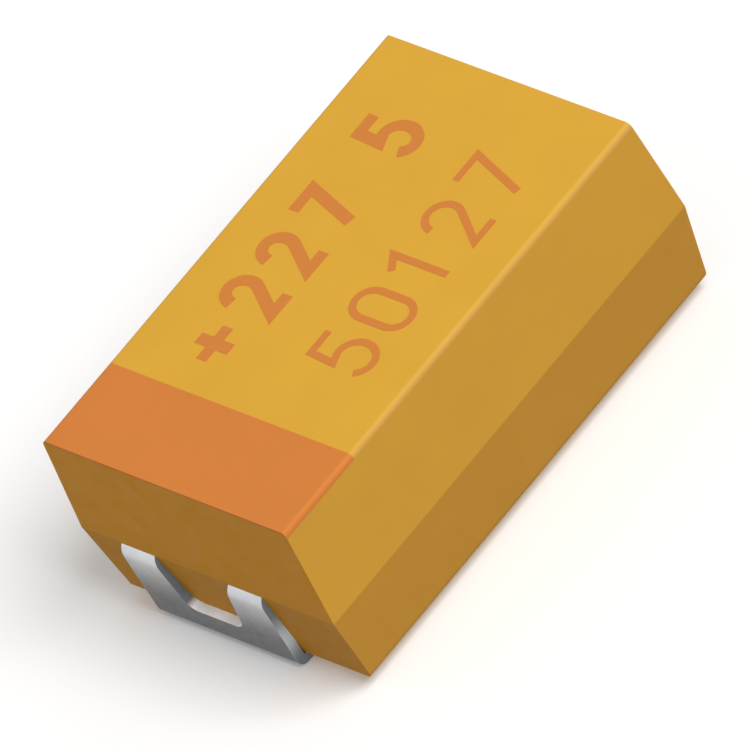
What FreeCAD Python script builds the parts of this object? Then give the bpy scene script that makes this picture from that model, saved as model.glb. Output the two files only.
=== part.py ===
import FreeCAD, Part
import math
import os

# Moulded tantalum chip capacitor, in millimetres. X runs along the length with the anode end at -X,
# Y runs across the width and Z up. The undersides of the two feet lie at Z = 0, and the origin is
# there, below the middle of the case.

Vector = FreeCAD.Vector

# Moulded case: two drafted halves that meet at the parting line
case_length = 7.18               # at the parting line
case_width = 4.36                # at the parting line
case_height = 2.85               # underside to top face
lower_half_height = 1.25         # underside to parting line
upper_end_draft = 2.7            # degrees off vertical
lower_end_draft = 7.1
upper_side_draft = 3.0
lower_side_draft = 4.0
top_edge_radius = 0.08           # along the two long top edges
front_bottom_radius = 0.15       # along the long bottom edge at -Y
back_bottom_radius = 0.05        # along the long bottom edge at +Y
end_bottom_radius = 0.04         # along the bottom edges of the two ends

# Lead frame: both terminals are stamped from one strip, so they share these sizes
lead_thickness = 0.14
lead_width = 2.42
lead_offset = 0.29               # the strip's middle lies this far towards +Y of the case's middle
lead_rise = 0.06                 # the leads' upper faces lie this far above the parting line
length_over_terminals = 7.3
foot_length = 1.3                # outer face of the terminal to the free end of its foot
terminal_lean = 3.0              # degrees that the drop leans in towards its foot
exit_bend_radius = 0.11          # inside radius where a lead leaves the case and turns down
foot_bend_radius = 0.02          # inside radius where it turns in under the case

# Fork of the anode terminal
fork_slot_width = 1.3            # at the leads' upper faces
fork_slot_floor_width = 0.96     # at the bottom of the slot
fork_bridge_height = 0.47        # foot's underside up to the bottom of the slot
fork_corner_radius = 0.2
fork_slot_depth = 0.62           # outer face of the terminal to the slot's end inside the case

# Step of the cathode terminal, down to the paddle that carries the pellet
step_gap = 0.08                  # silver layer to the riser of the step
step_bend_radius = 0.08          # inside radius of both bends
paddle_length = 3.9              # from the riser

# Pressed and sintered anode pellet
pellet_length = 4.4
pellet_width = 3.2
pellet_height = 1.75
pellet_edge_radius = 0.15        # along its four long edges
anode_end_room = 1.64            # end of the case to the pellet's wire face

# Tantalum wire, pressed into the pellet and welded to the anode lead
wire_radius = 0.2
wire_reach = 0.95                # out of the pellet
wire_embedded = 3.0              # into the pellet
weld_flat_depth = 0.03           # how far the weld presses the wire down onto the lead
tab_gap = 0.4                    # pellet's wire face to the free end of the anode lead

# Washer that keeps the coatings off the wire
washer_radius = 0.55
washer_thickness = 0.15

# Coatings of the pellet, from the inside out
oxide_thickness = 0.05
graphite_thickness = 0.03
silver_thickness = 0.04
graphite_setback = 0.2           # left bare behind the wire face
silver_setback = 0.35

# Silver-filled adhesive between the silver layer and the paddle
adhesive_thickness = 0.06
adhesive_margin = 0.1            # in from each long edge of the paddle

# Levels and places that follow from the sizes above
case_bottom = lead_thickness                     # the case stands on its two feet
case_top = case_bottom + case_height
parting_level = case_bottom + lower_half_height
lead_top = parting_level + lead_rise
upper_half_height = case_top - parting_level
half_length = case_length / 2
half_width = case_width / 2
terminal_face = length_over_terminals / 2
pellet_level = lead_top + wire_radius - weld_flat_depth
pellet_face = anode_end_room - half_length
pellet_end = pellet_face + pellet_length
coating_thickness = oxide_thickness + graphite_thickness + silver_thickness
coated_end = pellet_end + coating_thickness
coated_bottom = pellet_level - pellet_height / 2 - coating_thickness
paddle_top = coated_bottom - adhesive_thickness
cutter_margin = case_width       # how far a cutting shape runs past what it cuts


def inward(height, degrees):
    """How far a drafted face moves in over a height."""
    return height * math.tan(math.radians(degrees))


def rounded_corner(before, corner, after, radius):
    """The start, middle and end of the tangent arc that rounds a corner."""
    if radius == 0:
        return corner, corner, corner
    to_before = (before - corner).normalize()
    to_after = (after - corner).normalize()
    half_angle = to_before.getAngle(to_after) / 2
    bisector = (to_before + to_after).normalize()
    reach = radius / math.tan(half_angle)
    middle = corner + bisector * (radius / math.sin(half_angle) - radius)
    return corner + to_before * reach, middle, corner + to_after * reach


def rounded_wire(corners, radii, closed=True):
    """Straight runs from corner to corner, with a tangent arc at each corner that has a radius."""
    count = len(corners)
    arcs = []
    for index, corner in enumerate(corners):
        before = corners[index - 1]
        after = corners[(index + 1) % count]
        arcs.append(rounded_corner(before, corner, after, radii[index]))
    edges = []
    for index, (start, middle, end) in enumerate(arcs):
        if radii[index] > 0:
            edges.append(Part.Arc(start, middle, end).toShape())
        if closed or index < count - 1:
            edges.append(Part.makeLine(end, arcs[(index + 1) % count][0]))
    return Part.Wire(edges)


def prism(wire, sweep):
    """The solid that a closed outline leaves when it is moved along a vector."""
    return Part.Face(wire).extrude(sweep)


def double_draft_outline(half_span, upper_draft, lower_draft):
    """Six corners of a drafted section, as distance from the middle and level, from the bottom left."""
    bottom = half_span - inward(lower_half_height, lower_draft)
    top = half_span - inward(upper_half_height, upper_draft)
    return [
        (-bottom, case_bottom),
        (bottom, case_bottom),
        (half_span, parting_level),
        (top, case_top),
        (-top, case_top),
        (-half_span, parting_level),
    ]


def case_blank():
    """The case without its cavity: its cross-section swept along X, cut to its side view."""
    start = -half_length - cutter_margin
    section = double_draft_outline(half_width, upper_side_draft, lower_side_draft)
    section_corners = [Vector(start, across, level) for across, level in section]
    section_radii = [front_bottom_radius, back_bottom_radius, 0, top_edge_radius, top_edge_radius, 0]
    bar = prism(rounded_wire(section_corners, section_radii), Vector(-2 * start, 0, 0))

    side = double_draft_outline(half_length, upper_end_draft, lower_end_draft)
    side_start = -half_width - cutter_margin
    side_corners = [Vector(along, side_start, level) for along, level in side]
    side_radii = [end_bottom_radius, end_bottom_radius, 0, 0, 0, 0]
    side_view = prism(rounded_wire(side_corners, side_radii), Vector(0, -2 * side_start, 0))
    return bar.common(side_view)


def lead_strip(path_corners, bend_radii):
    """A flat strip of the lead frame, carried along its bent middle line from the foot's free end."""
    middle_radii = [radius + lead_thickness / 2 if radius else 0 for radius in bend_radii]
    path = rounded_wire(path_corners, middle_radii, closed=False)
    start = path_corners[0]
    across = Vector(0, lead_width / 2, 0)
    through = Vector(0, 0, lead_thickness / 2)
    outline = [start - across - through, start + across - through, start + across + through,
               start - across + through]
    return path.makePipeShell([rounded_wire(outline, [0] * len(outline))], True, False)


def outer_path(side):
    """Middle line of a terminal outside the case: foot, drop and exit. side is -1 or 1 along X."""
    half_thickness = lead_thickness / 2
    exit_level = lead_top - half_thickness
    bend = exit_bend_radius + half_thickness
    # The turn at the exit is more than a right angle, so its corner lies beyond the outermost point
    corner_reach = bend * math.tan(math.radians(45 + terminal_lean / 2))
    exit_corner = terminal_face - half_thickness - bend + corner_reach
    foot_corner = exit_corner - inward(exit_level - half_thickness, terminal_lean)
    foot_end = terminal_face - foot_length
    return [
        Vector(side * foot_end, lead_offset, half_thickness),
        Vector(side * foot_corner, lead_offset, half_thickness),
        Vector(side * exit_corner, lead_offset, exit_level),
    ]


def anode_terminal():
    """Forked strip: a foot, a drop with an open slot between two arms, and the tab for the weld."""
    path = outer_path(-1)
    tab_end = Vector(pellet_face - tab_gap, lead_offset, lead_top - lead_thickness / 2)
    strip = lead_strip(path + [tab_end], [0, foot_bend_radius, exit_bend_radius, 0])

    slot_start = -terminal_face - cutter_margin
    slot_end = fork_slot_depth - terminal_face
    slot_corners = [
        Vector(slot_start, lead_offset - fork_slot_floor_width / 2, fork_bridge_height),
        Vector(slot_start, lead_offset + fork_slot_floor_width / 2, fork_bridge_height),
        Vector(slot_start, lead_offset + fork_slot_width / 2, lead_top),
        Vector(slot_start, lead_offset - fork_slot_width / 2, lead_top),
    ]
    slot_outline = rounded_wire(slot_corners, [fork_corner_radius, fork_corner_radius, 0, 0])
    return strip.cut(prism(slot_outline, Vector(slot_end - slot_start, 0, 0)))


def cathode_terminal():
    """Plain strip: a foot and a drop, then a step down inside the case to the paddle."""
    half_thickness = lead_thickness / 2
    riser = coated_end + step_gap + half_thickness
    paddle_level = paddle_top - half_thickness
    path = outer_path(1) + [
        Vector(riser, lead_offset, lead_top - half_thickness),
        Vector(riser, lead_offset, paddle_level),
        Vector(riser - paddle_length, lead_offset, paddle_level),
    ]
    radii = [0, foot_bend_radius, exit_bend_radius, step_bend_radius, step_bend_radius, 0]
    return lead_strip(path, radii)


def pellet_bar(start, end, growth):
    """The pellet's rounded section, larger by growth all round, between two places along X."""
    across = pellet_width / 2 + growth
    up = pellet_height / 2 + growth
    corners = [
        Vector(start, -across, pellet_level - up),
        Vector(start, across, pellet_level - up),
        Vector(start, across, pellet_level + up),
        Vector(start, -across, pellet_level + up),
    ]
    radius = pellet_edge_radius + growth
    return prism(rounded_wire(corners, [radius] * len(corners)), Vector(end - start, 0, 0))


def rod(start, end, radius):
    """A round rod on the pellet's axis."""
    return Part.makeCylinder(radius, end - start, Vector(start, 0, pellet_level), Vector(1, 0, 0))


def wire_blank():
    """The tantalum wire before the weld flattens it."""
    return rod(pellet_face - wire_reach, pellet_face + wire_embedded, wire_radius)


def anode_wire():
    """Tantalum wire with the flat that the weld leaves where it lies on the anode lead."""
    return wire_blank().cut(anode_terminal())


def insulating_washer():
    """Ring on the wire, against the pellet's face."""
    return rod(pellet_face - washer_thickness, pellet_face, washer_radius).cut(wire_blank())


def anode_pellet():
    """Porous tantalum block with the wire pressed into it."""
    return pellet_bar(pellet_face, pellet_end, 0).cut(wire_blank())


def manganese_dioxide_layer():
    """Solid electrolyte: a skin over all six faces, open only round the washer."""
    skin = pellet_bar(pellet_face - oxide_thickness, pellet_end + oxide_thickness, oxide_thickness)
    washer_hole = rod(pellet_face - washer_thickness, pellet_face, washer_radius)
    return skin.cut([pellet_bar(pellet_face, pellet_end, 0), washer_hole])


def coating(setback, inner_growth, thickness):
    """A cup-shaped coat over the sides and the far end, set back from the wire face."""
    growth = inner_growth + thickness
    outside = pellet_bar(pellet_face + setback, pellet_end + growth, growth)
    inside = pellet_bar(pellet_face, pellet_end + inner_growth, inner_growth)
    return outside.cut(inside)


def graphite_layer():
    """Graphite coat on the solid electrolyte."""
    return coating(graphite_setback, oxide_thickness, graphite_thickness)


def silver_layer():
    """Silver coat on the graphite."""
    return coating(silver_setback, oxide_thickness + graphite_thickness, silver_thickness)


def silver_adhesive():
    """Flat pad that fills the gap between the paddle and the silver layer."""
    paddle_end = coated_end + step_gap + lead_thickness / 2 - paddle_length
    length = pellet_end - paddle_end
    width = lead_width - 2 * adhesive_margin
    corner = Vector(paddle_end, lead_offset - width / 2, paddle_top)
    return Part.makeBox(length, width, adhesive_thickness, corner)


inner_pieces = {
    "anode_terminal": anode_terminal,
    "cathode_terminal": cathode_terminal,
    "anode_pellet": anode_pellet,
    "anode_wire": anode_wire,
    "insulating_washer": insulating_washer,
    "manganese_dioxide_layer": manganese_dioxide_layer,
    "graphite_layer": graphite_layer,
    "silver_layer": silver_layer,
    "silver_adhesive": silver_adhesive,
}

pieces = {name: make() for name, make in inner_pieces.items()}

# The epoxy is moulded round everything else, so its cavity is what the other pieces take up
pieces["moulded_case"] = case_blank().cut(list(pieces.values()))

os.makedirs("parts", exist_ok=True)
for name, shape in pieces.items():
    solid = shape.Solids[0]
    solid.exportStep("parts/" + name + ".step")
    box = solid.BoundBox
    print(f"{name}: {len(shape.Solids)} solid, valid {solid.isValid()}, {solid.Volume:.3f} mm3,",
          f"X {box.XMin:.3f} to {box.XMax:.3f}, Y {box.YMin:.3f} to {box.YMax:.3f},",
          f"Z {box.ZMin:.3f} to {box.ZMax:.3f}")
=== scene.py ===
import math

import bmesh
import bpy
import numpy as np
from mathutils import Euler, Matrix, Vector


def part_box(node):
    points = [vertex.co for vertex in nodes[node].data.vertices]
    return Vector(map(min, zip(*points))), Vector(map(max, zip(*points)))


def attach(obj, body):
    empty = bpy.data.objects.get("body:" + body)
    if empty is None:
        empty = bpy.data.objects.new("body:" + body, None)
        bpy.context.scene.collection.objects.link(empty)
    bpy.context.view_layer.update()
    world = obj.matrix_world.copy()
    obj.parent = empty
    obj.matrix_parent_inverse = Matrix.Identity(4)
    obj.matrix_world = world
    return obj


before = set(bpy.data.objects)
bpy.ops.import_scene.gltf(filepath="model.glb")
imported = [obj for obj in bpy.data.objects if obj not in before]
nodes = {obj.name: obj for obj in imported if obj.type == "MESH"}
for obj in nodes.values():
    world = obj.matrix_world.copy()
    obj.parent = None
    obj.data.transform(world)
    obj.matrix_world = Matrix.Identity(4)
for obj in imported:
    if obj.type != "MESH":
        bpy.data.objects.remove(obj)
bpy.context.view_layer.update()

# %% [markdown]
# A tantalum chip capacitor, dressed
#
# The object is a small block of golden epoxy, 7.3 mm long over its terminals, with a tinned metal strip
# folded under each end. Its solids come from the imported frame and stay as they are. This lesson gives
# them their finishes, prints the top face, and sets up a floor, a lamp and a camera. Every length here is
# in metres, so a named value in millimetres is multiplied by `MM` once, where it is written.

MM = 0.001
case_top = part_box("moulded_case")[1][2]
print("case top at", round(case_top / MM, 3), "mm")

# %% [markdown]
# Building materials from nodes
#
# A node material is a small graph, and most of its code is the same few steps: add a node, set its
# values, join it to the next. The helpers below do those steps, so each material further down reads as
# a recipe. A socket is given either a plain value or another node's output, which becomes a link.

# %% Helpers that add nodes
def add_node(tree, kind, inputs=None, **settings):
    """Adds a node of that kind, sets its properties, and fills its input sockets.

    A value that is a socket is linked, and any other value is set as the socket's own."""
    node = tree.nodes.new(kind)
    for name, value in settings.items():
        setattr(node, name, value)
    for name, value in (inputs or {}).items():
        socket = node.inputs[name]
        if isinstance(value, bpy.types.NodeSocket):
            tree.links.new(value, socket)
        else:
            socket.default_value = value
    return node


def calculate(tree, operation, *values, **settings):
    """One sum on values or sockets, such as ADD or MAXIMUM. Gives the socket of its result."""
    node = add_node(tree, "ShaderNodeMath", dict(enumerate(values)), operation=operation, **settings)
    return node.outputs[0]


def ramp(tree, value, start, end, first=0.0, last=1.0, **settings):
    """Goes from the first number to the last as a value goes from start to end, and no further."""
    node = add_node(tree, "ShaderNodeMapRange", {
        "Value": value,
        "From Min": start,
        "From Max": end,
        "To Min": first,
        "To Max": last,
    }, **settings)
    return node.outputs["Result"]


def noise_at(tree, scale, detail):
    """Noise from 0 to 1 on Object coordinates, so that it stays in place on the piece."""
    place = add_node(tree, "ShaderNodeTexCoord").outputs["Object"]
    noise = add_node(tree, "ShaderNodeTexNoise", {"Vector": place, "Scale": scale, "Detail": detail})
    return noise.outputs["Fac"]


print("helpers:", [helper.__name__ for helper in (add_node, calculate, ramp, noise_at)])

# %% Colours and empty materials
def linear(red, green, blue):
    """An sRGB colour of 0 to 255 as the linear colour that shaders use, with alpha 1.

    Each channel is divided by 255, and then follows the curve of the sRGB standard: a straight stretch
    near black, and a power of 2.4 above it."""
    share = np.array([red, green, blue]) / 255
    curve = np.where(share <= 0.04045, share / 12.92, ((share + 0.055) / 1.055) ** 2.4)
    return (*[float(value) for value in curve], 1.0)


def new_material(name):
    """An empty material, with a Principled shader already joined to its output."""
    material = bpy.data.materials.new(name)
    material.use_nodes = True
    tree = material.node_tree
    tree.nodes.clear()
    shader = add_node(tree, "ShaderNodeBsdfPrincipled")
    add_node(tree, "ShaderNodeOutputMaterial", {"Surface": shader.outputs["BSDF"]})
    return material, tree, shader


print("a half grey in linear light:", np.round(linear(128, 128, 128), 3))

# %% [markdown]
# Effects that several finishes share
#
# Epoxy, ink and tin all show a fine grain from the mould or the rolling mill, and all are a little
# uneven from place to place. Both effects read Object coordinates, so they stay in place on the piece,
# and they are node groups: built once, and given other values in each material. Their sizes are given in
# millimetres, because such numbers are easier to read in a group's sockets.

# %% The grain group
FINER = 3.0                       # the second noise of the grain is this many times finer
FINER_SHARE = 0.33                # and counts for this share of the first


def new_group(name, inputs, outputs):
    """An empty node group with float inputs and the outputs named, and its inner end nodes."""
    group = bpy.data.node_groups.new(name, "ShaderNodeTree")
    for label, start in inputs.items():
        socket = group.interface.new_socket(label, in_out="INPUT", socket_type="NodeSocketFloat")
        socket.default_value = start
    for label in outputs:
        group.interface.new_socket(label, in_out="OUTPUT", socket_type="NodeSocketFloat")
    entry = add_node(group, "NodeGroupInput")
    leave = add_node(group, "NodeGroupOutput")
    return group, entry, leave


def make_grain_group():
    """Fine grain in two sizes: coarse noise plus a third of a noise three times finer."""
    group, entry, leave = new_group("fine_grain", {"Grain Size": 0.04, "Detail": 2.0}, ["Height"])
    # The noise scale is one over the grain size
    scale = calculate(group, "DIVIDE", 1 / MM, entry.outputs["Grain Size"])
    fine_scale = calculate(group, "MULTIPLY", scale, FINER)
    coarse, fine = [noise_at(group, step, entry.outputs["Detail"]) for step in (scale, fine_scale)]
    total = calculate(group, "MULTIPLY_ADD", fine, FINER_SHARE, coarse)
    group.links.new(total, leave.inputs["Height"])
    return group


grain_group = make_grain_group()
print("shared group:", grain_group.name)

# %% The uneven group
CLOUD_DETAIL = 3.0
NOISE_LOW, NOISE_HIGH = 0.3, 0.7  # nearly all values of a noise lie between these


def make_uneven_group():
    """Slow, cloudy change between a lowest and a highest value."""
    group, entry, leave = new_group("uneven", {"Cloud Size": 0.8, "Lowest": 0.9, "Highest": 1.0}, ["Value"])
    scale = calculate(group, "DIVIDE", 1 / MM, entry.outputs["Cloud Size"])
    noise = noise_at(group, scale, CLOUD_DETAIL)
    spread = ramp(group, noise, NOISE_LOW, NOISE_HIGH, entry.outputs["Lowest"], entry.outputs["Highest"])
    group.links.new(spread, leave.inputs["Value"])
    return group


uneven_group = make_uneven_group()
print("shared group:", uneven_group.name)

# %% The edge group
BEVEL_SAMPLES = 6


def make_edge_group():
    """1 along an outside edge and 0 elsewhere.

    A Bevel node gives the normal as if the edges had been rounded. Where that normal has turned away
    from the flat face's own, an edge is near: the mask is one minus their dot product, stretched."""
    group, entry, leave = new_group("edge_mask", {"Radius": 0.02, "Gain": 6.0}, ["Mask"])
    reach = calculate(group, "MULTIPLY", entry.outputs["Radius"], MM)
    rounded = add_node(group, "ShaderNodeBevel", {"Radius": reach}, samples=BEVEL_SAMPLES)
    flat = add_node(group, "ShaderNodeNewGeometry")
    alike = add_node(group, "ShaderNodeVectorMath", {
        0: rounded.outputs["Normal"],
        1: flat.outputs["True Normal"],
    }, operation="DOT_PRODUCT")
    turned = calculate(group, "SUBTRACT", 1.0, alike.outputs["Value"])
    mask = calculate(group, "MULTIPLY", turned, entry.outputs["Gain"], use_clamp=True)
    group.links.new(mask, leave.inputs["Mask"])
    return group


edge_group = make_edge_group()
print("shared group:", edge_group.name)

# %% Placing the groups in a material
def place_group(tree, group, **values):
    """Puts a group in a material, gives its inputs these values, and gives its output's socket.

    Underscores in a name stand for spaces."""
    node = tree.nodes.new("ShaderNodeGroup")
    node.node_tree = group
    for name, value in values.items():
        node.inputs[name.replace("_", " ")].default_value = value
    return node.outputs[0]


def add_gloss(tree, shader, size, least, most):
    """Roughness in clouds of that size, between the least and the most."""
    clouds = place_group(tree, uneven_group, Cloud_Size=size, Lowest=least, Highest=most)
    tree.links.new(clouds, shader.inputs["Roughness"])


def add_bump(tree, shader, height, strength, depth):
    """Tilts the normals as if the surface rose and fell by that depth."""
    bump = add_node(tree, "ShaderNodeBump", {"Strength": strength, "Distance": depth, "Height": height})
    tree.links.new(bump.outputs["Normal"], shader.inputs["Normal"])


def add_grain(tree, shader, size, detail, strength, depth):
    """A bump of fine grain of that size."""
    grain = place_group(tree, grain_group, Grain_Size=size, Detail=detail)
    add_bump(tree, shader, grain, strength, depth)


print("groups to place:", [group.name for group in bpy.data.node_groups])

# %% [markdown]
# The moulded epoxy and its printed band
#
# The case is one piece of filled epoxy. Its skin copies the mould: even and half-matt, with a grain that
# only just shows. The band that marks the positive end is ink on the top face and on the two rounded
# edges beside it, and stops where the end face begins. It could be a separate thin piece, but ink has no
# thickness to see, so it is a mask in the same material: inside a range of X and above a height.
#
# Each side of the case gets a slightly different tone from a few more masks, which is painted light and
# shade. The lower mould half and the two ends get a deeper painted shade, which makes the crease at the
# parting line read. The long sides get a lighter painted shade, a little less yellow. The rounded long
# edges of the top get a painted highlight: pale along the gold, and a stronger orange under the band. The
# reflection itself is tinted too, because the resin's sheen is warm.

# %% Masks and colours over the surface
FACING_EDGE = 0.7                 # a normal's share along an axis at which a face begins to look that way
FACING_SOFTNESS = 0.3


def step_mask(tree, value, edge, softness, below=False):
    """Goes from 0 to 1 as a value passes an edge, or from 1 to 0 if below is set."""
    ends = (1.0, 0.0) if below else (0.0, 1.0)
    return ramp(tree, value, edge - softness / 2, edge + softness / 2, *ends)


def overlap(tree, *masks):
    """1 only where every mask is 1: their product."""
    shared = masks[0]
    for mask in masks[1:]:
        shared = calculate(tree, "MULTIPLY", shared, mask)
    return shared


def opposite(tree, mask):
    """1 where a mask is 0, and 0 where it is 1."""
    return calculate(tree, "SUBTRACT", 1.0, mask)


def facing(tree, axis):
    """1 where the surface looks along that axis, either way, and 0 where it is square to it."""
    normal = add_node(tree, "ShaderNodeTexCoord").outputs["Normal"]
    part = add_node(tree, "ShaderNodeSeparateXYZ", {"Vector": normal}).outputs[axis]
    return step_mask(tree, calculate(tree, "ABSOLUTE", part), FACING_EDGE, FACING_SOFTNESS)


def blend(tree, share, first, second, blend_type="MIX"):
    """Goes from the first colour to the second, or to their product, as the share goes from 0 to 1."""
    colours = {0: share, 6: first, 7: second}    # where a Mix node keeps its share and its two colours
    return add_node(tree, "ShaderNodeMix", colours, data_type="RGBA", blend_type=blend_type).outputs[2]


def tint(tree, colour, amount):
    """A colour made lighter or darker by a value that changes over the surface."""
    scaled = add_node(tree, "ShaderNodeVectorMath", {0: colour, "Scale": amount}, operation="SCALE")
    return scaled.outputs[0]


print("a face looks along an axis from", FACING_EDGE, "of its normal")

# %% Where the band and the polished edges lie
BAND_EDGE = -2.16 * MM            # the band's straight inner edge
PARTING_LEVEL = 1.39 * MM         # where the two mould halves meet
TOP_ROUNDING = 0.087 * MM         # height of the rounded long edges below the top face
ROUNDING_SOFTNESS = 0.006 * MM    # how sharply a rounded edge ends
END_FACE_MARGIN = 0.001 * MM      # keeps the ink off the end face, which starts just past the top's end
INK_BLEED = 0.012 * MM            # how far the ink's edge wanders
BLEED_SIZE = 0.06 * MM            # size of the waves in that edge
FLAT_MARGIN = 0.003 * MM          # what lies this far below the top is on a rounded edge
EDGE_SOFTNESS = 0.01 * MM         # how sharply the band and the lower half end
SAME_LEVEL = 0.001 * MM           # corners this close to the highest are on the top face

case_corners = np.array([corner.co for corner in nodes["moulded_case"].data.vertices])
top_corners = case_corners[case_corners[:, 2] > case_top - SAME_LEVEL]
top_end = float(top_corners[:, 0].min())
print("top face starts at", round(top_end / MM, 4), "mm")

# %% The epoxy material
GOLD = linear(225, 171, 60)
BAND_ORANGE = linear(218, 131, 63)
# What each part of the case keeps of the red, green and blue of its colour, as painted shade or highlight
# Painted shade: the lower half, the long sides and the ends are darkened as light would fall on them
LOWER_HALF_SHADE_TINT = (0.85, 0.8, 0.82, 1)
SIDE_SHADE_TINT = (0.955, 0.9, 1.02, 1)
END_SHADE_TINT = (0.985, 0.782, 0.42, 1)
LOWER_END_SHADE_TINT = (0.94, 0.995, 0.75, 1)    # on top of the lower half's and the end's
# Painted highlight on the rounded long edges of the top: pale on the gold, stronger orange under the band
ROUNDING_HIGHLIGHT_TINT = (0.99, 1.04, 1.65, 1)
BAND_ROUNDING_HIGHLIGHT_TINT = (1.04, 1.01, 0.58, 1)
EPOXY_SHEEN = (1.0, 0.8, 0.3, 1)           # the resin's own reflection is warm too
EPOXY_REFLECTION = 0.15                    # filled resin and ink reflect less than the usual 0.5
# Painted highlight: the case is made lighter along its outside edges
EDGE_HIGHLIGHT = 0.06                           # how much lighter the case is along its outside edges


def band_mask(tree, along, on_top):
    """1 under the band: past its wandering inner edge, short of the end face, and high enough."""
    bleed = noise_at(tree, 1 / BLEED_SIZE, detail=2.0)
    wander = calculate(tree, "MULTIPLY_ADD", bleed, INK_BLEED, along)
    inside = step_mask(tree, wander, BAND_EDGE + INK_BLEED / 2, EDGE_SOFTNESS, below=True)
    off_the_end = step_mask(tree, along, top_end - END_FACE_MARGIN, END_FACE_MARGIN)
    return overlap(tree, inside, off_the_end, on_top)


def make_epoxy():
    """Golden moulded epoxy with the orange band, painted shade on its lower half, sides and ends, and
    painted highlights on its edges.
    """
    material, tree, shader = new_material("moulded_epoxy")
    place = add_node(tree, "ShaderNodeTexCoord").outputs["Object"]
    axes = add_node(tree, "ShaderNodeSeparateXYZ", {"Vector": place})
    height = axes.outputs["Z"]
    on_top = step_mask(tree, height, case_top - TOP_ROUNDING, ROUNDING_SOFTNESS)
    band = band_mask(tree, axes.outputs["X"], on_top)

    lower_half = step_mask(tree, height, PARTING_LEVEL, EDGE_SOFTNESS, below=True)
    on_end = facing(tree, "X")
    off_the_flat = step_mask(tree, height, case_top - FLAT_MARGIN, FLAT_MARGIN, below=True)
    rounding = overlap(tree, on_top, off_the_flat, opposite(tree, on_end))
    # Painted light and shade: each mask darkens or lightens its part of the case as light would fall on it
    painted_light_tints = (
        (lower_half, LOWER_HALF_SHADE_TINT),
        (facing(tree, "Y"), SIDE_SHADE_TINT),
        (on_end, END_SHADE_TINT),
        (overlap(tree, lower_half, on_end), LOWER_END_SHADE_TINT),
        (rounding, ROUNDING_HIGHLIGHT_TINT),
        (overlap(tree, rounding, band), BAND_ROUNDING_HIGHLIGHT_TINT),
    )
    colour = blend(tree, band, GOLD, BAND_ORANGE)
    for share, painted_tint in painted_light_tints:
        colour = blend(tree, share, colour, painted_tint, "MULTIPLY")

    clouds = place_group(tree, uneven_group, Cloud_Size=0.9, Lowest=0.975, Highest=1.015)
    edges = place_group(tree, edge_group, Radius=0.02, Gain=4.0)
    # The clouds are the resin's own uneven tone, and the edge mask adds a painted highlight along outside
    # edges
    tone_and_edge_highlight = calculate(tree, "MULTIPLY_ADD", edges, EDGE_HIGHLIGHT, clouds)
    tree.links.new(tint(tree, colour, tone_and_edge_highlight), shader.inputs["Base Color"])
    shader.inputs["Specular IOR Level"].default_value = EPOXY_REFLECTION
    shader.inputs["Specular Tint"].default_value = EPOXY_SHEEN
    add_gloss(tree, shader, size=0.25, least=0.5, most=0.64)
    add_grain(tree, shader, size=0.035, detail=2.0, strength=0.35, depth=0.003 * MM)
    return material


def dress(node_name, material):
    """Gives a CAD node's object this material in every slot."""
    piece = nodes[node_name]
    piece.data.materials.clear()
    piece.data.materials.append(material)


dress("moulded_case", make_epoxy())
print("moulded_case is dressed in epoxy")

# %% [markdown]
# Tin on the folded terminals
#
# The strip is a nickel alloy with a thin coat of matt tin. Tin is bright but not a mirror: it scatters a
# reflection and has a faint rolled grain. One metallic shader mixes a shaded and a lit tone of it, which is
# a painted reflection: the share of the lit one rises with the height up the drop, to full where the strip
# leaves the case, and it is full along the edges as a painted highlight.
#
# The faces that the press cut, at the strip's sides and in the slot, are torn, so they are much rougher.
# The outer sides get a painted highlight in a patch above the foot, which fades out upwards and
# downwards, and the floor of the slot a near-white painted highlight. Roughness in small clouds and a bump
# from stretched noise give the matt, rolled surface.

# %% Tones and places on the strip
# A shaded and a lit tone of the same tin, mixed as a painted reflection that grows lighter upwards
SHADED_TIN = linear(113, 114, 117)
LIT_TIN = linear(217, 220, 222)
CUT_SIDE = linear(150, 158, 165)
# Painted highlight on the outer cut sides
CUT_SIDE_HIGHLIGHT = linear(224, 234, 242)
# Painted highlight: the slot's floor faces up to the light, so it is made near white
SLOT_FLOOR_HIGHLIGHT = linear(247, 251, 255)
HIGHLIGHT_FROM = 0.5 * MM         # height where the painted highlight up the drop begins
HIGHLIGHT_FULL = PARTING_LEVEL    # where the strip leaves the case
HIGHLIGHT_CURVE = 1.35              # above 1, the brightness comes on slowly at first
SLOT_FLOOR_LEVEL = 0.47 * MM
SLOT_FLOOR_REACH = 0.1 * MM       # what faces up this close to that level is the slot's floor
CUT_ROUGHNESS = 0.85
SIDE_HIGHLIGHT_LEVEL = 0.57 * MM          # height of the painted highlight on the strip's outer cut sides
SIDE_HIGHLIGHT_REACH = 0.47 * MM          # how far up and down it fades out
SIDE_MARGIN = 0.02 * MM           # what lies this close to the strip's side is an outer cut side
ROLLING = (0.12, 1.0, 0.12)       # stretches the rolled lines along X and Z
ROLLED_LINE = 0.02 * MM           # width of a rolled line

strip_low, strip_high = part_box("anode_terminal")
strip_middle = (strip_low[1] + strip_high[1]) / 2
strip_half = (strip_high[1] - strip_low[1]) / 2
print("the strip is", round(2 * strip_half / MM, 3), "mm wide")

# %% The tin material
def distance_from(tree, value, middle):
    """How far a value lies from a middle, on either side: the size of their difference."""
    return calculate(tree, "ABSOLUTE", calculate(tree, "SUBTRACT", value, middle))


def cut_side_colour(tree, across, height):
    """Grey on the cut sides, with a painted highlight in a patch on the two outer ones."""
    from_middle = distance_from(tree, across, strip_middle)
    outer_side = step_mask(tree, from_middle, strip_half - SIDE_MARGIN, SIDE_MARGIN / 2)
    from_level = distance_from(tree, height, SIDE_HIGHLIGHT_LEVEL)
    highlight_patch = ramp(tree, from_level, 0.0, SIDE_HIGHLIGHT_REACH, 1.0, 0.0, interpolation_type="SMOOTHSTEP")
    return blend(tree, overlap(tree, outer_side, highlight_patch), CUT_SIDE, CUT_SIDE_HIGHLIGHT)


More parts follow.
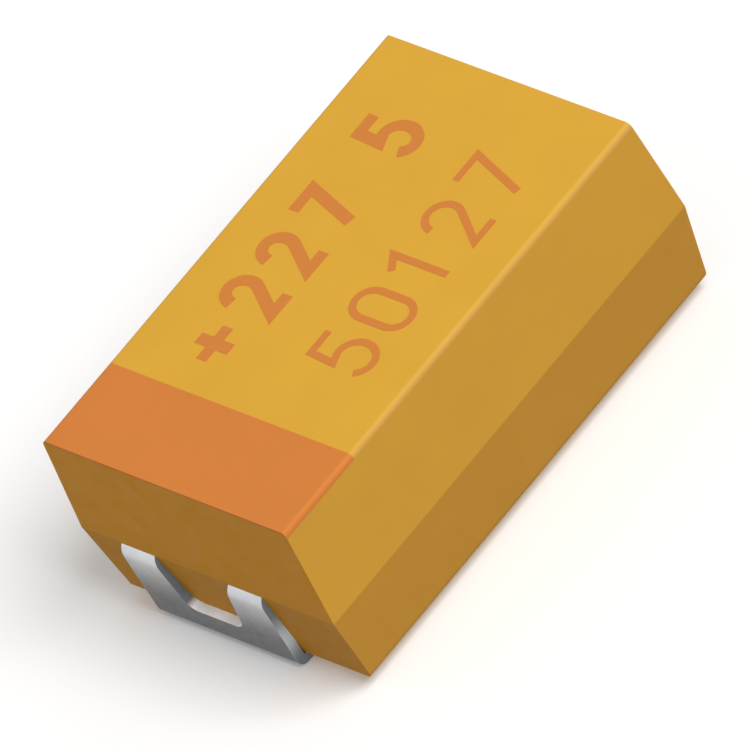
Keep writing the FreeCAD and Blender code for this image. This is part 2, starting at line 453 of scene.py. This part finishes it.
def make_tin():
    """Matt tin plate, with a painted highlight up the drop and along its edges."""
    material, tree, shader = new_material("tin_plate")
    place = add_node(tree, "ShaderNodeTexCoord").outputs["Object"]
    axes = add_node(tree, "ShaderNodeSeparateXYZ", {"Vector": place})
    height = axes.outputs["Z"]
    # Painted highlight: the tin gets lighter with height and along its edges
    highlight_by_height = calculate(tree, "POWER", ramp(tree, height, HIGHLIGHT_FROM, HIGHLIGHT_FULL), HIGHLIGHT_CURVE)
    edges = place_group(tree, edge_group, Radius=0.018, Gain=4.0)
    highlight_share = calculate(tree, "MAXIMUM", highlight_by_height, edges)
    colour = blend(tree, highlight_share, SHADED_TIN, LIT_TIN)

    cut_side = facing(tree, "Y")
    near_floor = calculate(tree, "COMPARE", height, SLOT_FLOOR_LEVEL, SLOT_FLOOR_REACH)
    slot_floor = overlap(tree, facing(tree, "Z"), near_floor)
    colour = blend(tree, cut_side, colour, cut_side_colour(tree, axes.outputs["Y"], height))
    # Painted highlight on the upward-facing floor of the slot
    colour = blend(tree, slot_floor, colour, SLOT_FLOOR_HIGHLIGHT)
    clouds = place_group(tree, uneven_group, Cloud_Size=0.35, Lowest=0.88, Highest=1.0)
    tree.links.new(tint(tree, colour, clouds), shader.inputs["Base Color"])
    shader.inputs["Metallic"].default_value = 1.0

    gloss = place_group(tree, uneven_group, Cloud_Size=0.12, Lowest=0.28, Highest=0.42)
    roughness = add_node(tree, "ShaderNodeMix", {
        0: calculate(tree, "MAXIMUM", cut_side, slot_floor),
        2: gloss,
        3: CUT_ROUGHNESS,
    }, data_type="FLOAT")
    tree.links.new(roughness.outputs[0], shader.inputs["Roughness"])
    rolled = add_node(tree, "ShaderNodeMapping", {"Vector": place, "Scale": ROLLING})
    lines = add_node(tree, "ShaderNodeTexNoise", {
        "Vector": rolled.outputs["Vector"],
        "Scale": 1 / ROLLED_LINE,
        "Detail": 3.0,
    })
    add_bump(tree, shader, lines.outputs["Fac"], strength=0.15, depth=0.002 * MM)
    return material


tin = make_tin()
for name in ("anode_terminal", "cathode_terminal"):
    dress(name, tin)
print("both terminals are dressed in tin")

# %% [markdown]
# What the epoxy hides
#
# Inside are a porous tantalum pellet on its wire, three coats, a washer and a pad of adhesive. None of
# them shows while the case is whole, but they are real pieces, and a cut-away view would show them. Each
# gets a finish from one recipe with its own colour, metal share, gloss and grain.

# %% Finishes for the inner pieces
INNER_FINISHES = {
    # node: (colour, metallic, least roughness, most roughness, grain in mm, bump in mm)
    "anode_pellet": (linear(92, 94, 100), 0.6, 0.6, 0.8, 0.03, 0.006),
    "anode_wire": (linear(150, 153, 160), 1.0, 0.25, 0.4, 0.015, 0.001),
    "insulating_washer": (linear(236, 236, 232), 0.0, 0.35, 0.5, 0.05, 0.001),
    "manganese_dioxide_layer": (linear(38, 35, 33), 0.0, 0.7, 0.9, 0.025, 0.006),
    "graphite_layer": (linear(56, 56, 58), 0.0, 0.55, 0.75, 0.04, 0.003),
    "silver_layer": (linear(190, 188, 182), 0.8, 0.45, 0.6, 0.03, 0.003),
    "silver_adhesive": (linear(182, 180, 176), 0.8, 0.45, 0.65, 0.04, 0.004),
}


def make_inner_finish(name, colour, metallic, least, most, grain_size, bump_height):
    """A plain finish with cloudy colour, cloudy gloss and a fine grain."""
    material, tree, shader = new_material(name + "_finish")
    clouds = place_group(tree, uneven_group, Cloud_Size=0.3, Lowest=0.85, Highest=1.05)
    tree.links.new(tint(tree, colour[:3], clouds), shader.inputs["Base Color"])
    shader.inputs["Metallic"].default_value = metallic
    add_gloss(tree, shader, size=0.15, least=least, most=most)
    add_grain(tree, shader, size=grain_size, detail=3.0, strength=0.5, depth=bump_height * MM)
    return material


for name, finish in INNER_FINISHES.items():
    dress(name, make_inner_finish(name, *finish))
print("inner pieces dressed:", len(INNER_FINISHES))

# %% [markdown]
# Print on the top face
#
# The top carries two rows of plain figures, a bold one and a thin one, and a plus sign beside the band
# that marks the positive end. They could be drawn in the material, but a figure is easier to shape as a
# thin slab of ink. Each figure is a stroke of even width: a path of straight runs and arcs, with the
# left and right edges offset from it. At a corner, the offset follows the mitre, so the width stays
# even, and the corner of a 7 or a 2 comes out as sharp as a stencil cuts it.

# %% Paths of the figures
ARC_STEPS = 28
ROUND = 0.28                      # height of a round end's radius, as a share of the figure's height


def arc(centre, radii, start, end):
    """Points on an ellipse: the centre plus the radii times the cosine and sine of an angle.

    The angle runs evenly from start to end, in degrees, and goes clockwise if end is the smaller."""
    angle = np.radians(np.linspace(start, end, ARC_STEPS))
    return np.stack([centre[0] + radii[0] * np.cos(angle), centre[1] + radii[1] * np.sin(angle)], axis=1)


def figure_path(figure):
    """The middle line of a figure in a box one wide and one high, and whether it is closed."""
    half = 0.5
    if figure == "0":
        top = arc((half, 1 - ROUND), (half, ROUND), 0, 180)
        bottom = arc((half, ROUND), (half, ROUND), 180, 360)
        return np.concatenate([top, bottom]), True
    if figure == "2":
        hook = arc((half, 1 - ROUND), (half, ROUND), 172, -42.5)
        return np.concatenate([hook, [(0.15, 0.0), (1.0, 0.0)]]), False
    if figure == "1":
        return np.array([(0.14, 0.83), (0.64, 1.0), (0.64, 0.0)]), False
    if figure == "5":
        bowl = arc((0.46, 0.31), (0.54, 0.31), 100, -152)
        return np.concatenate([[(0.93, 1.0), (0.12, 1.0), (0.06, 0.56)], bowl]), False
    if figure == "7":
        return np.array([(0.0, 1.0), (1.0, 1.0), (0.36, 0.0)]), False
    raise ValueError("no path for figure " + figure)


print("a closed path:", figure_path("0")[0].shape, "and an open one:", figure_path("2")[0].shape)

# %% From a path to the edges of a stroke
def stroke_edges(path, width, closed):
    """The left and right edges of a stroke of even width along a path.

    The unit normals of the two runs that meet at a point are added and divided by one plus their dot
    product, which is the mitre. Half the width times the mitre is added to the point on one side and
    taken away on the other."""
    following = np.roll(path, -1, axis=0)
    run = following - path
    if not closed:
        run[-1] = run[-2]
    run /= np.linalg.norm(run, axis=1, keepdims=True)
    normal = np.stack([-run[:, 1], run[:, 0]], axis=1)
    before = np.roll(normal, 1, axis=0)
    if not closed:
        before[0] = normal[0]
    mitre = (before + normal) / (1 + (before * normal).sum(axis=1, keepdims=True))
    reach = mitre * width / 2
    return path + reach, path - reach


left, right = stroke_edges(np.array([(0.0, 0.0), (1.0, 0.0), (1.0, 1.0)]), 0.2, False)
print("a stroke round a corner has the edges", left.tolist(), "and", right.tolist())

# %% From the edges to a slab of ink
INK_SINK = 0.002 * MM             # how deep the slab's underside lies in the case
INK_THICKNESS = 0.004 * MM        # how far its top stands proud
INK_LEVELS = (case_top - INK_SINK, case_top + INK_THICKNESS)
WELD_REACH = 0.0005 * MM


def ring_slab(left, right, closed, low_z, high_z):
    """Vertices and quads of a slab whose section is carried between a left and a right edge.

    Each path point gives four corners: left low, right low, right high and left high. The quads join
    each set of four to the next, and an open slab gets two end caps."""
    count = len(left)
    corners = np.empty((count, 4, 3))
    for slot, (edge, level) in enumerate(((left, low_z), (right, low_z), (right, high_z), (left, high_z))):
        corners[:, slot, :2] = edge
        corners[:, slot, 2] = level
    runs = np.arange(count if closed else count - 1)
    after = (runs + 1) % count
    side = np.arange(4)
    next_side = (side + 1) % 4
    first = runs[:, None] * 4 + side
    second = runs[:, None] * 4 + next_side
    third = after[:, None] * 4 + next_side
    fourth = after[:, None] * 4 + side
    quads = np.stack([first, fourth, third, second], axis=2).reshape(-1, 4)
    if not closed:
        quads = np.concatenate([quads, [[0, 1, 2, 3]], [(count - 1) * 4 + side[::-1]]])
    return corners.reshape(-1, 3), quads


def weld(mesh):
    """Merges corners that lie in one place, which drops faces without any area."""
    work = bmesh.new()
    work.from_mesh(mesh)
    bmesh.ops.remove_doubles(work, verts=work.verts, dist=WELD_REACH)
    work.to_mesh(mesh)
    work.free()


def new_piece(name, vertices, faces, material):
    """A mesh object at the origin that rides on the capacitor's one body."""
    mesh = bpy.data.meshes.new(name)
    mesh.from_pydata(vertices.tolist(), [], [list(map(int, face)) for face in faces])
    weld(mesh)
    mesh.materials.append(material)
    piece = bpy.data.objects.new(name, mesh)
    bpy.context.scene.collection.objects.link(piece)
    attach(piece, "root")
    return piece


print("ink stands", INK_THICKNESS / MM, "mm proud")

# %% The ink material
INK_ORANGE = linear(214, 130, 59)


def make_ink():
    """Orange marking ink, a little thin in places, so that some of the gold shows through."""
    material, tree, shader = new_material("marking_ink")
    thin_places = place_group(tree, uneven_group, Cloud_Size=0.12, Lowest=0.0, Highest=0.06)
    tree.links.new(blend(tree, thin_places, INK_ORANGE, GOLD), shader.inputs["Base Color"])
    shader.inputs["Specular IOR Level"].default_value = EPOXY_REFLECTION
    add_gloss(tree, shader, size=0.1, least=0.42, most=0.56)
    add_grain(tree, shader, size=0.03, detail=2.0, strength=0.3, depth=0.003 * MM)
    return material


ink = make_ink()
print("ink material:", ink.name)

# %% Both rows of figures
FIGURE_HEIGHT = 1.03 * MM         # outer height of a figure
FIGURE_WIDTH = 0.56 * MM
BOLD_STROKE = 0.17 * MM
THIN_STROKE = 0.105 * MM
BOLD_FOOT = 0.395 * MM            # Y of the bold row's lower edge
THIN_FOOT = -1.43 * MM
# Each figure of a row, with the X of its left edge in millimetres wherever it stands
BOLD_ROW = {"2": [-0.88, -0.14], "7": [0.64], "5": [1.93]}
THIN_ROW = {"5": [-1.15], "0": [-0.4], "1": [0.3], "2": [1.08], "7": [1.86]}


def print_row(row_name, row, foot, stroke):
    """Makes each figure of a row: its path, scaled into its box, becomes a stroke and then a slab."""
    size = np.array([FIGURE_WIDTH - stroke, FIGURE_HEIGHT - stroke])
    made = []
    for figure, starts in row.items():
        unit_path, closed = figure_path(figure)
        for start in starts:
            path = unit_path * size + np.array([start * MM + stroke / 2, foot + stroke / 2])
            slab = ring_slab(*stroke_edges(path, stroke, closed), closed, *INK_LEVELS)
            made.append(new_piece(f"{row_name}_figure_{figure}_at_{round(start * 100)}", *slab, ink))
    return made


bold_figures = print_row("bold", BOLD_ROW, BOLD_FOOT, BOLD_STROKE)
thin_figures = print_row("thin", THIN_ROW, THIN_FOOT, THIN_STROKE)
print("figures:", len(bold_figures), "bold and", len(thin_figures), "thin")

# %% The plus sign
PLUS_CENTRE = np.array([-1.4 * MM, 0.9 * MM])
PLUS_SPAN = 0.56 * MM


def plus_outline(centre, span, stroke):
    """Twelve corners of a plus sign, anticlockwise: three for each arm, turned a quarter each time."""
    half, arm = span / 2, stroke / 2
    first_arm = np.array([(half, -arm), (half, arm), (arm, arm)])
    quarter = np.array([(0, 1), (-1, 0)])
    arms = []
    for _ in range(4):
        arms.append(first_arm)
        first_arm = first_arm @ quarter
    return np.concatenate(arms) + centre


def prism(outline, low_z, high_z):
    """Vertices and faces of a flat slab with that outline: a floor, a roof and a wall on each side."""
    count = len(outline)
    levels = (low_z, high_z)
    vertices = np.concatenate([np.column_stack([outline, np.full(count, level)]) for level in levels])
    ring = np.arange(count)
    after = (ring + 1) % count
    walls = np.stack([ring, after, after + count, ring + count], axis=1).tolist()
    return vertices, [ring[::-1].tolist(), (ring + count).tolist()] + walls


plus_slab = prism(plus_outline(PLUS_CENTRE, PLUS_SPAN, BOLD_STROKE), *INK_LEVELS)
plus_sign = new_piece("plus_sign", *plus_slab, ink)
print("plus sign has", len(plus_sign.data.polygons), "faces")

# %% [markdown]
# Floor and background
#
# The floor is a wide white sheet. A white floor throws so much light back up that the sides of a small
# object lose their shape, and it leaves the underside black for a camera that looks from below. So the
# sheet is there only for rays that see it: those of the camera, and those that bounce off metal or pass
# through glass. Soft light passes through it, and comes from the even sky below instead. The sheet still
# takes the object's shadow, because it is a diffuse surface wherever it is seen.

# %% The floor
FLOOR_HALF = 400 * MM
FLOOR_WHITE = (0.97, 0.97, 0.97, 1)
FLOOR_LIFT = 0.12                 # a faint glow, so that the open floor comes out white
WHITE = (1, 1, 1, 1)


def seen_rays(tree):
    """1 for rays of the camera, for glossy rays and for transmission rays, and 0 for all others."""
    path = add_node(tree, "ShaderNodeLightPath").outputs
    shiny = calculate(tree, "MAXIMUM", path["Is Glossy Ray"], path["Is Transmission Ray"])
    return calculate(tree, "MAXIMUM", path["Is Camera Ray"], shiny)


def make_floor_material():
    """A white diffuse sheet for rays that see its upper side, and clear for all others."""
    material = bpy.data.materials.new("floor_sheet")
    material.use_nodes = True
    tree = material.node_tree
    tree.nodes.clear()
    white = add_node(tree, "ShaderNodeBsdfDiffuse", {"Color": FLOOR_WHITE})
    lift = add_node(tree, "ShaderNodeEmission", {"Color": WHITE, "Strength": FLOOR_LIFT})
    sheet = add_node(tree, "ShaderNodeAddShader", {0: white.outputs[0], 1: lift.outputs[0]})
    clear = add_node(tree, "ShaderNodeBsdfTransparent")
    underside = add_node(tree, "ShaderNodeNewGeometry").outputs["Backfacing"]
    floor_shader = add_node(tree, "ShaderNodeMixShader", {
        0: overlap(tree, seen_rays(tree), opposite(tree, underside)),
        1: clear.outputs[0],
        2: sheet.outputs[0],
    })
    add_node(tree, "ShaderNodeOutputMaterial", {"Surface": floor_shader.outputs[0]})
    return material


floor_mesh = bpy.data.meshes.new("floor")
square = np.array([(-1, -1, 0), (1, -1, 0), (1, 1, 0), (-1, 1, 0)]) * FLOOR_HALF
floor_mesh.from_pydata(square.tolist(), [], [(0, 1, 2, 3)])
floor_mesh.materials.append(make_floor_material())
floor = bpy.data.objects.new("floor", floor_mesh)
bpy.context.scene.collection.objects.link(floor)
print("floor is", 2 * FLOOR_HALF, "m square")

# %% [markdown]
# Light
#
# The top face is the brightest, the long side that faces the camera is about three quarters of that, and
# the banded end less than half. A soft lamp high over the long side gives that order, and an even sky
# fills the shadows. The levels are chosen so that a colour on the top face renders about as written.

# %% Sky and lamp
SKY_LEVEL = 0.38
KEY_DIRECTION = Vector((0.14, -0.54, 0.83)).normalized()
KEY_DISTANCE = 300 * MM
KEY_SIZE = 180 * MM
KEY_LEVEL = 0.77                  # what the lamp adds to a white face that looks straight at it


def make_sky():
    """An even sky: white where it is seen, and dimmer for the light that it gives."""
    world = bpy.data.worlds.new("studio_sky")
    bpy.context.scene.world = world
    world.use_nodes = True
    tree = world.node_tree
    tree.nodes.clear()
    level = ramp(tree, seen_rays(tree), 0.0, 1.0, SKY_LEVEL, 1.0)
    light = add_node(tree, "ShaderNodeBackground", {"Color": WHITE, "Strength": level})
    add_node(tree, "ShaderNodeOutputWorld", {"Surface": light.outputs[0]})


def make_area_lamp(name, direction, distance, size, level):
    """A square lamp that looks at the object.

    Light that reaches the object is power over pi times the distance squared, and a white face shows
    that divided by pi. So the power is the level times pi squared times the distance squared."""
    lamp = bpy.data.lights.new(name, "AREA")
    lamp.size = size
    lamp.energy = level * (math.pi * distance) ** 2
    holder = bpy.data.objects.new(name, lamp)
    holder.location = direction * distance
    holder.rotation_euler = direction.to_track_quat("Z", "Y").to_euler()
    bpy.context.scene.collection.objects.link(holder)
    return holder


make_sky()
key_lamp = make_area_lamp("key_lamp", KEY_DIRECTION, KEY_DISTANCE, KEY_SIZE, KEY_LEVEL)
print("key lamp gives", round(key_lamp.data.energy * 1000, 2), "mW")

# %% [markdown]
# The camera
#
# The picture looks down on the banded end and one long side, from far off. The camera is rolled, so the
# object leans over to the left in the picture. The angles and the distance were fitted to the block's
# edges there. A long lens far away keeps parallel edges almost parallel.

# %% Camera at the photograph's angle
CAMERA_AZIMUTH = -29.24           # degrees, 0 looks along +Y and -90 along +X
CAMERA_ELEVATION = 42.08
CAMERA_ROLL = -29.38              # degrees, the camera's right-hand side is tipped down
CAMERA_DISTANCE = 307.1 * MM
CAMERA_LENS = 1200                # the lens and its sensor are in Blender's own millimetres
CAMERA_SENSOR = 36
CLIP_NEAR = 10 * MM
CLIP_FAR = 2000 * MM
AIM_RIGHT = -0.060 * MM           # where the camera looks, from the object's middle, in the picture's axes
AIM_UP = -0.176 * MM
OBJECT_MIDDLE = Vector((0, 0, 1.5 * MM))


def make_camera():
    """A camera on a sphere round its aim, turned about its own axis by the roll."""
    azimuth, elevation = math.radians(CAMERA_AZIMUTH), math.radians(CAMERA_ELEVATION)
    turn = Euler((math.pi / 2 - elevation, 0, azimuth)).to_matrix()
    turn = turn @ Euler((0, 0, math.radians(CAMERA_ROLL))).to_matrix()
    right, up, back = turn.col
    data = bpy.data.cameras.new("camera")
    data.lens = CAMERA_LENS
    data.sensor_width = CAMERA_SENSOR
    data.clip_start = CLIP_NEAR
    data.clip_end = CLIP_FAR
    camera = bpy.data.objects.new("camera", data)
    aim = OBJECT_MIDDLE + right * AIM_RIGHT + up * AIM_UP
    camera.matrix_world = turn.to_4x4()
    camera.location = aim + back * CAMERA_DISTANCE
    bpy.context.scene.collection.objects.link(camera)
    bpy.context.scene.camera = camera
    return camera


camera = make_camera()
print("camera at", [round(value / MM, 2) for value in camera.location], "mm")

# %% [markdown]
# Output
#
# The Standard view shows a colour as it was written.

# %% The view transform
bpy.context.scene.view_settings.view_transform = "Standard"
